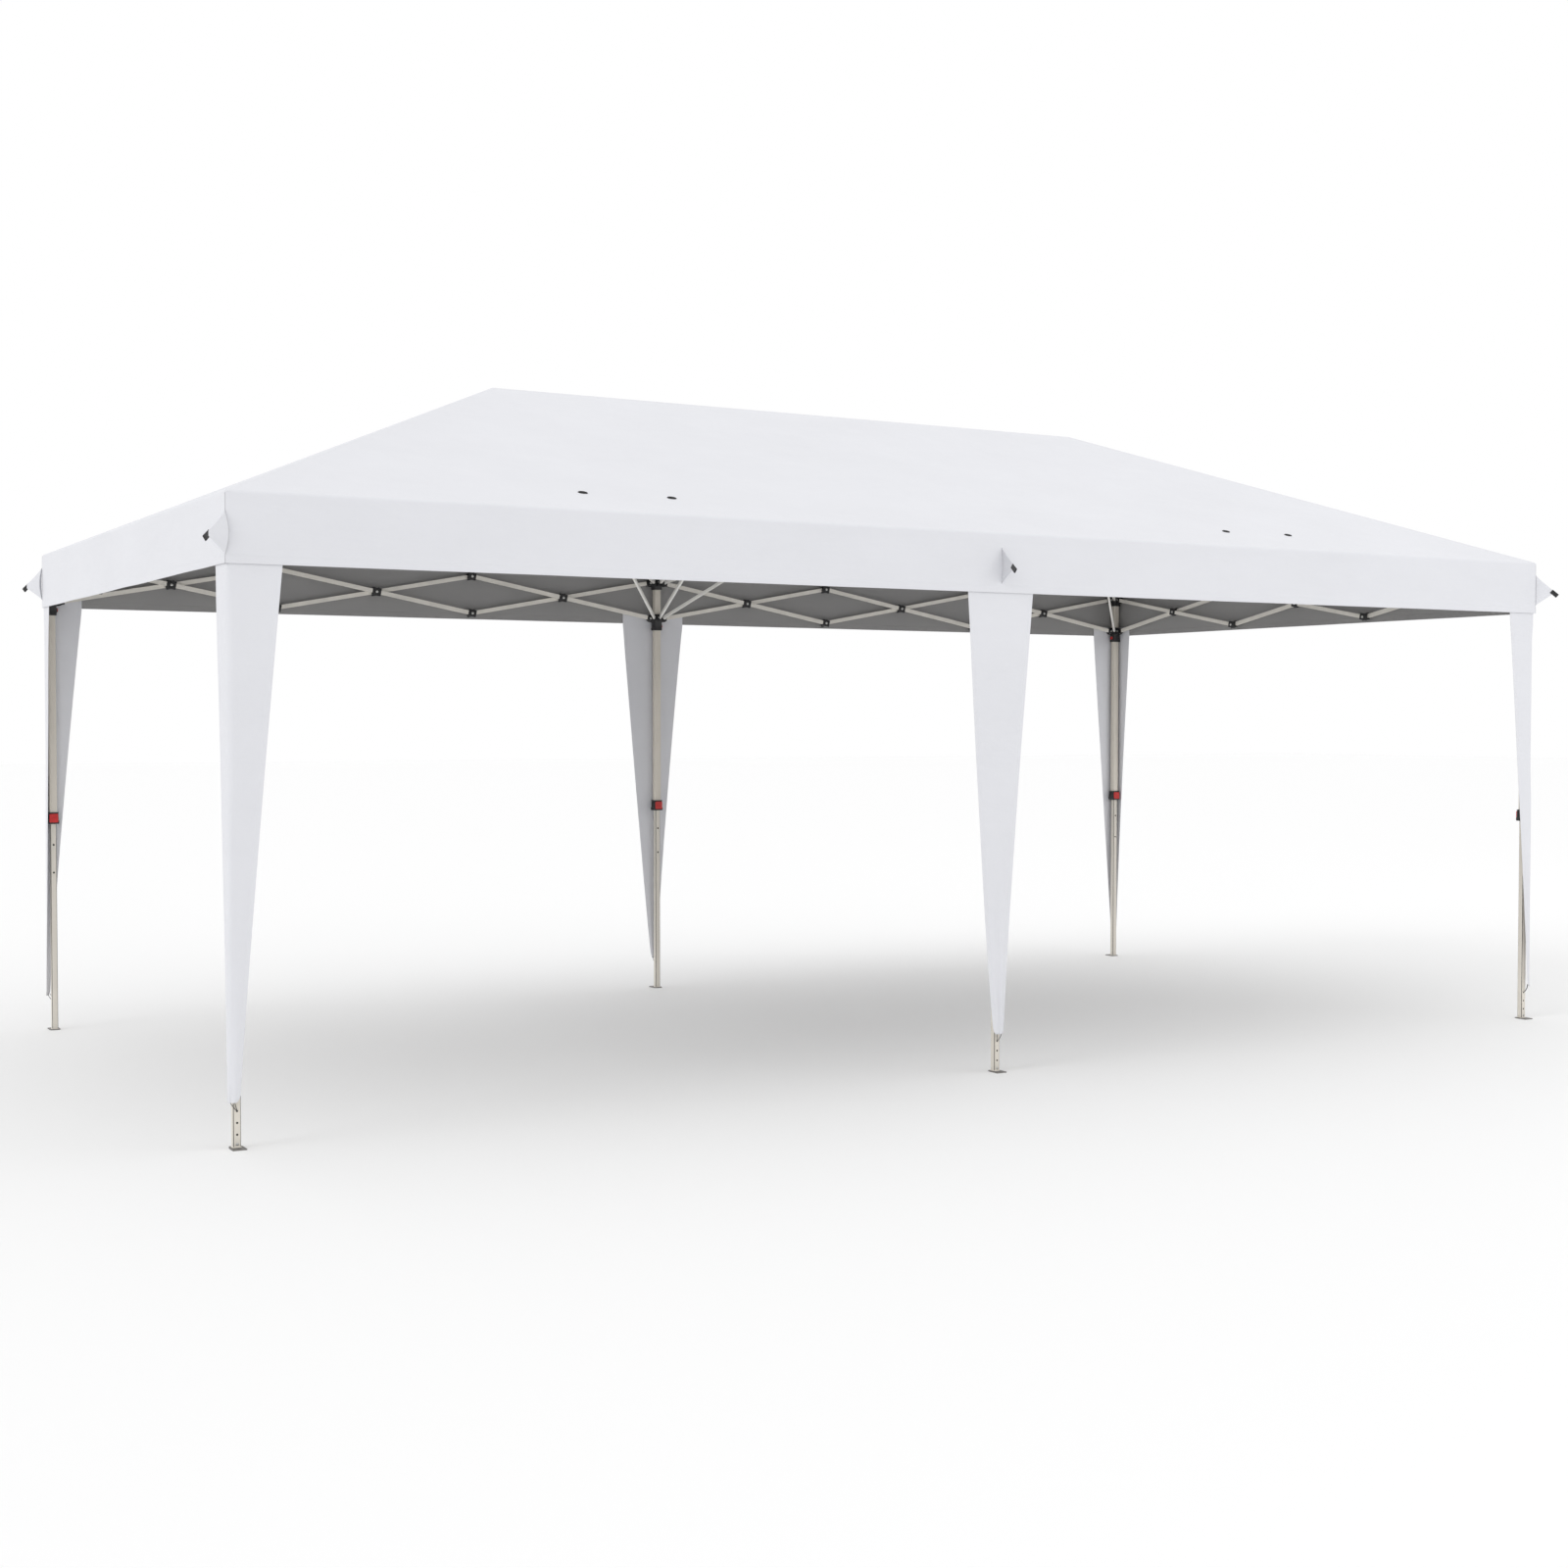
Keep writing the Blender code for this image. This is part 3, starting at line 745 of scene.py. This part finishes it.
# The strips along each side: the bar that each rides on, and where it ends
LONG_ENDS = (FIRST, SECOND, X_OUT, LONG - SECOND, LONG - FIRST, LONG)
SHORT_ENDS = (FIRST, SHORT - FIRST, SHORT)
STRIPS = {
    "front": list(zip(bars("front_left", (1, 2, 3), "a") + bars("front_right", (3, 2, 1), "a"), LONG_ENDS)),
    "rear": list(zip(bars("rear_right", (3, 2, 1), "a") + bars("rear_left", (1, 2, 3), "a"), LONG_ENDS)),
    "left": list(zip(bars("side_left", (1, 2, 3), "b"), SHORT_ENDS)),
    "right": list(zip(bars("side_right", (3, 2, 1), "b"), SHORT_ENDS)),
}


def columns(length):
    """Places along a side. They repeat the rows up to the ridge, so that neighbouring sides meet at the hips."""
    half = list(HALF_STEPS)
    if length == LONG:
        half += spread(Y_OUT, SECOND, 6) + spread(SECOND, X_OUT, 14)
    return half + [length - s for s in reversed(half[:-1])]


def smooth(low, high, value):
    share = min(1.0, max(0.0, (value - low) / (high - low)))
    return share * share * (3 - 2 * share)


def window(s, length):
    """0 where the valance is held at a corner or leg, 1 between."""
    posts = [0.0, length] + ([length / 2] if length == LONG else [])
    return smooth(0.17, 0.42, min(abs(s - post) for post in posts))


def wave(phase, s, z, length):
    """How far the hanging valance stands out of its plane: nothing at the eave, most at the hem."""
    drop = (ROLL_Z - z) / (ROLL_Z - HEM_Z)
    ripple = sin(2 * pi * s / 0.83 + phase) + 0.6 * sin(2 * pi * s / 0.47 + 2.1 * phase)
    return 0.0024 * drop**1.4 * ripple * window(s, length)


def sag(s, d, length):
    """How far the roof cloth hangs below its flat slope between the ribs."""
    if d <= 0.03 or d >= Y_OUT - 1e-6:
        return 0.0
    if length == LONG:
        s, wide = min(s, length - s), length / 2 - d
    else:
        wide = length - 2 * d
    if wide < 1e-6:
        return 0.0
    share = min(1.0, max(0.0, (s - d) / wide))
    return 0.011 * sin(pi * share) ** 0.9 * sin(pi * (d / Y_OUT) ** 0.85)


def profile():
    """(inward distance, height, is valance) of each row from the stitched hem over the eave to the ridge."""
    hem = [
        (0.0, 0.0004), (0.0012, 0.0009), (0.01, 0.001), (0.0215, 0.001), (0.0228, 0.0005), (0.0238, 0.0003),
        (0.025, 0.0008), (0.0272, 0.0008), (0.0286, 0.0), (0.045, 0.0), (0.075, 0.0), (0.11, 0.0),
        (0.145, 0.0), (0.18, 0.0), (ROLL_Z - 0.012 - HEM_Z, 0.0),
    ]
    rows = [(-proud, HEM_Z + up, True) for up, proud in hem]
    for i in range(6):
        turn = pi + (SLANT - pi / 2) * i / 5
        rows.append((ROLL + ROLL * cos(turn), ROLL_Z + ROLL * sin(turn), i == 0))
    return rows + [(d, EAVE_Z + SLOPE * d, False) for d in (0.03, *HALF_STEPS[1:])]


def sheet_normals(points, faces):
    normals = np.zeros_like(points)
    for f in faces:
        n = np.cross(points[f[1]] - points[f[0]], points[f[-1]] - points[f[0]])
        if len(f) == 4:
            n = n + np.cross(points[f[3]] - points[f[2]], points[f[1]] - points[f[2]])
        for i in f:
            normals[i] += n
    return normals / np.maximum(np.linalg.norm(normals, axis=1, keepdims=True), 1e-12)


def whole_side(side):
    """The uncut cloth of a side: its sheet for thick_cloth, its columns, and each face as (row, column, points)."""
    origin, u, v, length, phase = SIDES[side]
    along, inward, up = np.array(u), np.array(v), np.array((0, 0, 1))
    cols, rows = columns(length), profile()
    last = len(cols) - 1
    points, cloth, marks, firsts, index = [], [], [], [], {}
    run, before = 0.0, rows[0]
    for r, (d, z, hangs) in enumerate(rows):
        run += hypot(d - before[0], z - before[1])
        before = (d, z)
        first = 0 if d < 0.05 else next(i for i, s in enumerate(cols) if abs(s - d) < 1e-6)
        firsts.append(first)
        for c in range(first, len(cols) - first):
            s = d if c == 0 else length - d if c == last else cols[c]
            out = wave(phase, s, z, length) if hangs and z < ROLL_Z - 1e-6 else 0.0
            drop = 0.0 if hangs else sag(s, d, length)
            index[r, c] = len(points)
            points.append(np.array(origin) + along * s + inward * (d - out) + up * (z - drop))
            cloth.append((s, run))
            edge = min(s, length - s)
            # The second mark is the distance from the valance's corner, where a dark line of painted shadow goes.
            marks.append((run - 0.0135, max(edge, 0.0)) if hangs else ((edge - d) / sqrt(2), 1.0))
    faces = []
    for r, (low, high) in enumerate(zip(firsts, firsts[1:])):
        if high > low:
            faces.append((r, low, (index[r, low], index[r, low + 1], index[r + 1, high])))
            c = last - low
            if c > high:
                faces.append((r, c - 1, (index[r, c - 1], index[r, c], index[r + 1, last - high])))
        for c in range(high, last - high):
            faces.append((r, c, (index[r, c], index[r, c + 1], index[r + 1, c + 1], index[r + 1, c])))
    points = np.array(points)
    normals = sheet_normals(points, [f for _, _, f in faces])
    # Where two sides or slopes meet, the back is set in along the mitre, so that their pieces close up
    offsets = normals.copy()
    for (r, c), i in index.items():
        n, top = normals[i], r == len(rows) - 1
        a, b = n @ along, n @ inward
        if c == firsts[r]:
            over = b * along + a * inward
        elif c == last - firsts[r]:
            over = -b * along - a * inward
        elif top:
            over = a * along - b * inward
        else:
            continue
        over = over + n * up
        offsets[i] = (0, 0, 1.2) if top and c == firsts[r] else (n + over) / (1 + n @ over)
    return (points, normals, offsets, cloth, marks), cols, faces


def thick_cloth(name, sheet, faces, body, thickness=CLOTH, sides=(ROOF, INSIDE)):
    """A closed piece of cloth from one layer of faces: the layer, its back set in by the thickness, and a rim."""
    points, normals, offsets, cloth, marks = sheet
    used = sorted({i for f in faces for i in f})
    order = {i: k for k, i in enumerate(used)}
    outer = points[used]
    inner = outer - offsets[used] * thickness
    front = [tuple(order[i] for i in f) for f in faces]
    # An edge that no neighbour runs along the other way is part of the rim
    edges = dict.fromkeys((a, b) for f in front for a, b in zip(f, f[1:] + f[:1]))
    n = len(used)
    back = [tuple(i + n for i in reversed(f)) for f in front]
    rim = [(b, a, a + n, b + n) for a, b in edges if (b, a) not in edges]
    data = bpy.data.meshes.new(name)
    data.from_pydata([tuple(p) for p in np.vstack((outer, inner))], [], front + back + rim)
    indices = [0] * len(front) + [len(sides) - 1] * len(back) + [0] * len(rim)
    data.polygons.foreach_set("material_index", indices)
    loops = np.empty(len(data.loops), np.int32)
    data.loops.foreach_get("vertex_index", loops)
    flat = np.array([cloth[i] for i in used] * 2, np.float32)
    data.uv_layers.new(name="cloth").uv.foreach_set("vector", flat[loops].ravel())
    values = np.array([marks[i] for i in used] * 2, np.float32)
    for column, mark in enumerate(("seam", "corner")):
        data.attributes.new(mark, "FLOAT", "POINT").data.foreach_set("value", values[:, column].copy())
    piece = finish_piece(name, data, sides, body)
    custom = np.vstack((normals[used], -normals[used]))[loops]
    for face in data.polygons[len(front) * 2:]:
        for k in face.loop_indices:
            custom[k] = tuple(face.normal)
    data.normals_split_custom_set([tuple(c) for c in custom])
    return piece


def pleat(piece):
    """Gives a piece of the roof its own copy of its mesh.
    """
    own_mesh(piece)


def roof_and_valances():
    for side, strips in STRIPS.items():
        sheet, cols, faces = whole_side(side)
        eave = next(r for r, row in enumerate(profile()) if row[1] >= ROLL_Z - 1e-9)
        start = 0.0
        for number, (bar, stop) in enumerate(strips):
            chosen = [f for f in faces if start < (cols[f[1]] + cols[f[1] + 1]) / 2 < stop]
            roof = thick_cloth(f"roof_{side}_{number + 1}", sheet, [f for r, _, f in chosen if r >= eave], bar)
            valance = thick_cloth(f"valance_{side}_{number + 1}", sheet, [f for r, _, f in chosen if r < eave], bar)
            pleat(roof)
            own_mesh(valance)
            for piece, held, deep in ((roof, "stretched", ROOF_CUT), (valance, "hung", VALANCE_CUT)):
                wide, area = stop - start, sheet_area(piece)
                area = area if area < wide * deep else None
            if roof.name == "roof_front_1":
                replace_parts(roof, "canopy_cover")
            start = stop


def sheet_area(piece):
    return sum(p.area for p in piece.data.polygons) / 2


def eyelets():
    """Oval drain eyelets in the long slopes, two over each bay."""
    ring = [
        (0.0175, -0.0012), (0.0185, 0.0006), (0.0165, 0.0022),
        (0.0125, 0.0016), (0.0105, 0.0002), (0.01, -0.0012),
    ]
    cup = [(0, 0.0003), (0.0115, 0.0003), (0.0115, -0.0002), (0, -0.0002)]
    d = Y_OUT - 1.275
    for side, near in (("front", -1), ("rear", 1)):
        outward = Vector((0, near, 0))
        normal = outward * sin(SLANT) + UP * cos(SLANT)
        up_slope = UP * sin(SLANT) - outward * cos(SLANT)
        for end, letter in ((-1, "left"), (1, "right")):
            piece = Piece()
            for x in (1.29, 1.635):
                z = EAVE_Z + SLOPE * d - sag(X_OUT - x, d, LONG)
                spot = Vector((end * x, near * 1.275, z)) + normal * 0.0004
                place = frame_of(Vector((-near, 0, 0)), up_slope, normal, spot) @ Matrix.Diagonal((1, 0.72, 1, 1))
                piece.put(turned_ring(ring), place)
                # The dark cup fills each eyelet's hole with painted shade.
                piece.put(turned(cup, 24), place)
            made = piece.make(f"eyelets_{side}_{letter}", DARK_AND_SHADE, f"{side}_{letter}_bar_2a", "black_plastic")
            pleat(made)


# Each skirt half: width at the foot, width under the valance, and how the taper between them bends
SKIRTS = {
    "front_left": ((0.033, 0.177, 1.12), (0.015, 0.122, 1.15)),
    "front_right": ((0.02, 0.157, 1.1), (0.015, 0.122, 1.15)),
    "rear_left": ((0.014, 0.16, 1.2), (0.015, 0.122, 1.15)),
    "rear_right": ((0.022, 0.158, 1.0), (0.015, 0.122, 1.15)),
    "front_middle": ((0.018, 0.15, 1.2), (0.026, 0.15, 0.82)),
    "rear_middle": ((0.015, 0.157, 1.25), (0.015, 0.174, 0.9)),
}


def skirt_half(taper, z):
    bottom, top, power = taper
    share = max(0.0, (min(z, HEM_Z) - SKIRT_FOOT) / (HEM_Z - SKIRT_FOOT))
    tip = 0.62 + 0.38 * sqrt(min(1.0, (z - SKIRT_FOOT) / 0.022))
    return (bottom + (top - bottom) * share**power) * tip


def skirt_line(wide, bend):
    """Half of a skirt at one height, from its stitched edge to its middle: (place, how proud the hem stands, bend)."""
    hem = min(0.013, wide * 0.35)
    bend = min(bend, wide * 0.6)
    places = [wide - hem * share for share in (0.0, 0.1, 0.85, 1, 1.15)]
    inner = places[-1]
    places += [bend + (inner - bend) * (5 - k) / 5 for k in range(1, 6)]
    places += [bend * 0.72, bend * 0.45, bend * 0.2]
    return [(p, 0.0008 if wide - p < hem * 0.9 else 0.0, bend) for p in places]


def skirt_point(leg, w, out, bend, gather):
    """A point of a skirt, w along it from its middle: flat at a middle leg, turned round the bend at a corner."""
    if not at_corner(leg):
        return w, out + gather
    if abs(w) < bend:
        angle = pi / 4 * (1 + w / bend)
        middle, reach = SKIRT_OUT - bend, bend + gather * 0.3
        return middle + reach * cos(angle), middle + reach * sin(angle)
    stands = out + gather * 0.8
    return (SKIRT_OUT - w, stands) if w > 0 else (stands, SKIRT_OUT + w)


def make_skirts():
    """Tapered leg skirts: flat at the middle legs, bent softly round the corner at the corner legs."""
    levels = [SKIRT_FOOT + step for step in (0.0, 0.003, 0.008, 0.015, 0.024)]
    levels += spread(levels[-1], HEM_Z, 30) + [HEM_Z + 0.025, SKIRT_TOP]
    for turn, (leg, foot) in enumerate(LEGS.items()):
        corner = at_corner(leg)
        sx, sy = copysign(1, foot.x) if corner else 1, outward_y(leg)
        points, cloth, marks, faces = [], [], [], []
        for z in levels:
            # The bend is tight where the collar and the slider push the cloth out
            bend = 0.012 + 0.01 * smooth(0.95, 1.15, z) - 0.01 * smooth(1.7, 1.78, z) if corner else 0.01
            halves = [skirt_line(skirt_half(taper, z), bend) for taper in SKIRTS[leg]]
            wides = [half[0][0] for half in halves]
            line = [*halves[0], (0.0, 0.0, halves[0][0][2]), *((-p, h, b) for p, h, b in reversed(halves[1]))]
            loose = 1 - smooth(0.15, 0.95, z)
            high = smooth(1.7, 1.8, z)
            for w, proud, bent in line:
                wide = wides[0] if w > 0 else wides[1]
                gather = 0.0024 * loose * (1 + cos(2 * pi * (1.15 * w / wide + 0.13 * turn)))
                gather += 0.0004 * (1 + sin(9 * z + 5 * w)) * (1 - smooth(1.62, 1.8, z))
                x, y = skirt_point(leg, w, SKIRT_OUT + proud * (1 - high), bent, gather)
                points.append((foot.x + sx * x, foot.y + sy * y, z))
                cloth.append((w, z))
                marks.append((wide - abs(w), 1.0))
        count = len(line)
        for r in range(len(levels) - 1):
            for a in range(r * count, r * count + count - 1):
                faces.append((a, a + 1, a + count + 1, a + count))
        points = np.array(points)
        normals = sheet_normals(points, faces)
        if (normals @ np.array((sx if corner else 0.0, sy, 0.0))).mean() < 0:
            normals = -normals
            faces = [tuple(reversed(f)) for f in faces]
        sheet = (points, normals, normals, cloth, marks)
        piece = thick_cloth("skirt_" + leg, sheet, faces, "leg_" + leg, SKIRT_CLOTH, sides=(ROOF,))
        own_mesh(piece)
        tie_down(leg, sx, sy)


def tie_down(leg, sx, sy):
    """Thin cord from the skirt's lower corners through a hole in the inner tube."""
    ends = [(sx * 0.0255, 0.012), (sx * 0.012, 0.0255)] if at_corner(leg) else [(-0.012, 0.0255), (0.012, 0.0255)]
    hole = LEGS[leg] + Vector((0, sy * 0.0128, TIE_HOLE_Z))
    piece = Piece()
    turns = [2 * pi * k / 8 for k in range(8)]
    for x, y in ends:
        end = LEGS[leg] + Vector((x, sy * y, 0.153))
        spots = []
        for t in (i / 6 for i in range(7)):
            slack = sin(pi * t)
            spots.append(end.lerp(hole, t) + Vector((0, sy * 0.004 * slack, -0.003 * slack)))
        rings = []
        for i, spot in enumerate(spots):
            ahead = (spots[min(i + 1, 6)] - spots[max(i - 1, 0)]).normalized()
            side = ahead.cross(Vector((sx, 0, 0.1))).normalized()
            rise = ahead.cross(side)
            rings.append([spot + (side * cos(turn) + rise * sin(turn)) * 0.0011 for turn in turns])
        piece.put(skin(rings))
    piece.make("skirt_tie_" + leg, WEB, "inner_" + leg)


def guy_flap(leg):
    """A white gusset that stands out from the valance, with a loop of black tape at its tip for a guy rope."""
    foot, corner = LEGS[leg], at_corner(leg)
    sx, sy = copysign(1, foot.x) if corner else 0, outward_y(leg)
    outward = Vector((sx, sy, 0)).normalized()
    base = foot + Vector((sx * OUT, sy * OUT, 0))
    if leg == "front_left":
        # This one hangs a little lower, and swings to the left
        outward = Matrix.Rotation(-0.21, 3, "Z") @ outward
        base.z -= 0.008
    across = UP.cross(outward)
    reach, low, high, tip_z = 0.074, 1.853, 1.99, 1.912
    steps = 8
    points, cloth, marks, swell, faces = [], [], [], [], []
    for t in (k / steps for k in range(steps + 1)):
        out = -0.001 + (reach + 0.001) * t
        top = high + (tip_z + 0.008 - high) * t**0.86
        bottom = low + (tip_z - 0.008 - low) * t**0.9
        for h in (i / steps for i in range(steps + 1)):
            z = bottom + (top - bottom) * h
            full = sin(pi * h) * (1 - t) ** 1.2
            points.append(base + outward * out + across * 0.0052 * full + UP * z)
            cloth.append((out, z))
            # The second mark, the distance from the flap's base, puts a dark line of painted shadow along that base.
            marks.append((1.0, max(0.0, out - 0.0004)))
            swell.append(0.0018 + 0.0105 * full)
    for k in range(steps):
        for a in range(k * (steps + 1), k * (steps + 1) + steps):
            faces.append((a, a + steps + 1, a + steps + 2, a + 1))
    points = np.array([tuple(p) for p in points])
    normals = sheet_normals(points, faces)
    # The flap is two layers that meet at its tip, so its offsets carry its thickness
    sheet = (points, normals, normals * np.array(swell)[:, None], cloth, marks)
    # The middle legs' flaps take the darker copy of the cloth, which paints their shade.
    piece = thick_cloth("guy_flap_" + leg, sheet, faces, "leg_" + leg, 1.0, sides=(ROOF if corner else SHADED_FLAP_CLOTH,))
    tip = base + outward * (reach - 0.003) + UP * tip_z
    loop = tape_loop(tip, outward, across).make("guy_loop_" + leg, WEB, "leg_" + leg)


def tape_loop(tip, outward, across):
    """Tape folded over on itself, that hangs down from the tip of a flap."""
    down = (outward * cos(0.72) - UP * sin(0.72)).normalized()
    wide = across.cross(down).normalized()
    fold = [(-0.007, 0.0007), (0.006, 0.001), (0.016, 0.0019), (0.0225, 0.0021), (0.0262, 0.0012), (0.027, 0.0)]
    fold += [(a, -h) for a, h in reversed(fold[:-1])]
    rings = []
    for k, (a, h) in enumerate(fold):
        back, front = fold[max(k - 1, 0)], fold[min(k + 1, len(fold) - 1)]
        ahead = (down * (front[0] - back[0]) + across * (front[1] - back[1])).normalized()
        lift = wide.cross(ahead).normalized()
        spot = tip + down * a + across * h
        rings.append([spot + wide * w + lift * t for w, t in TAPE_SECTION])
    return Piece().put(skin(rings))


# ---- make it all

for leg in LEGS:
    make_upper(leg)
    make_slider(leg)
tube_with_holes = holed_tube()
for leg in LEGS:
    make_lower(leg, tube_with_holes)
for truss in TRUSSES:
    for step in range(3):
        for letter in "ab":
            bar_fittings(truss, step, letter)
            node = frame["nodes"][f"{truss}_bar_{step + 1}{letter}"]
            node.data.materials.clear()
            node.data.materials.append(BAR)
            soft = node.modifiers.new("eased_edges", "BEVEL")
            soft.width, soft.segments, soft.limit_method = 0.0012, 2, "ANGLE"
for hub, (centre, legs) in HUBS.items():
    for leg in legs:
        make_rib(hub, centre, leg)
    make_hub(hub, centre, legs)
roof_and_valances()
eyelets()
make_skirts()
for leg in LEGS:
    guy_flap(leg)

# ---- stage, light and camera

floor_data = bpy.data.meshes.new("floor")
floor_data.from_pydata([(-60, -60, 0), (60, -60, 0), (60, 60, 0), (-60, 60, 0)], [], [(0, 1, 2, 3)])
floor_data.materials.append(Look("pale_floor", (0.9, 0.9, 0.9), 0.9).material)
linked("floor", floor_data)

scene = bpy.context.scene
scene.world = bpy.data.worlds.new("studio")
scene.world.use_nodes = True
background = scene.world.node_tree.nodes["Background"]
background.inputs["Color"].default_value = (1.0, 1.0, 1.0, 1)
background.inputs["Strength"].default_value = 1.0


def lamp(name, kind, energy, place, size):
    data = bpy.data.lights.new(name, kind)
    data.energy = energy
    if kind == "AREA":
        data.shape, data.size = "SQUARE", size
    else:
        data.angle = size
    back = Vector(place) - UP
    linked(name, data).matrix_world = moved(place) @ back.to_track_quat("Z", "Y").to_matrix().to_4x4()


lamp("key", "SUN", 0.55, (-10, -1.8, 7.5), radians(30))
lamp("fill", "AREA", 150, (9, -10, 6), 6)

scene.view_settings.view_transform = "Standard"
camera_data = bpy.data.cameras.new("camera")
camera_data.lens, camera_data.sensor_width = 47.98, 36
camera = linked("camera", camera_data)
yaw, pitch, roll = radians(29.875), radians(-1.703), radians(0.043)
ahead = Vector((sin(yaw) * cos(pitch), cos(yaw) * cos(pitch), sin(pitch)))
side_way = ahead.cross(UP).normalized()
above = side_way.cross(ahead)
turn = Matrix.Rotation(roll, 4, "Z")
camera.matrix_world = frame_of(side_way, above, -ahead, Vector((-4.6493, -7.9234, 1.3313))) @ turn
scene.camera = camera
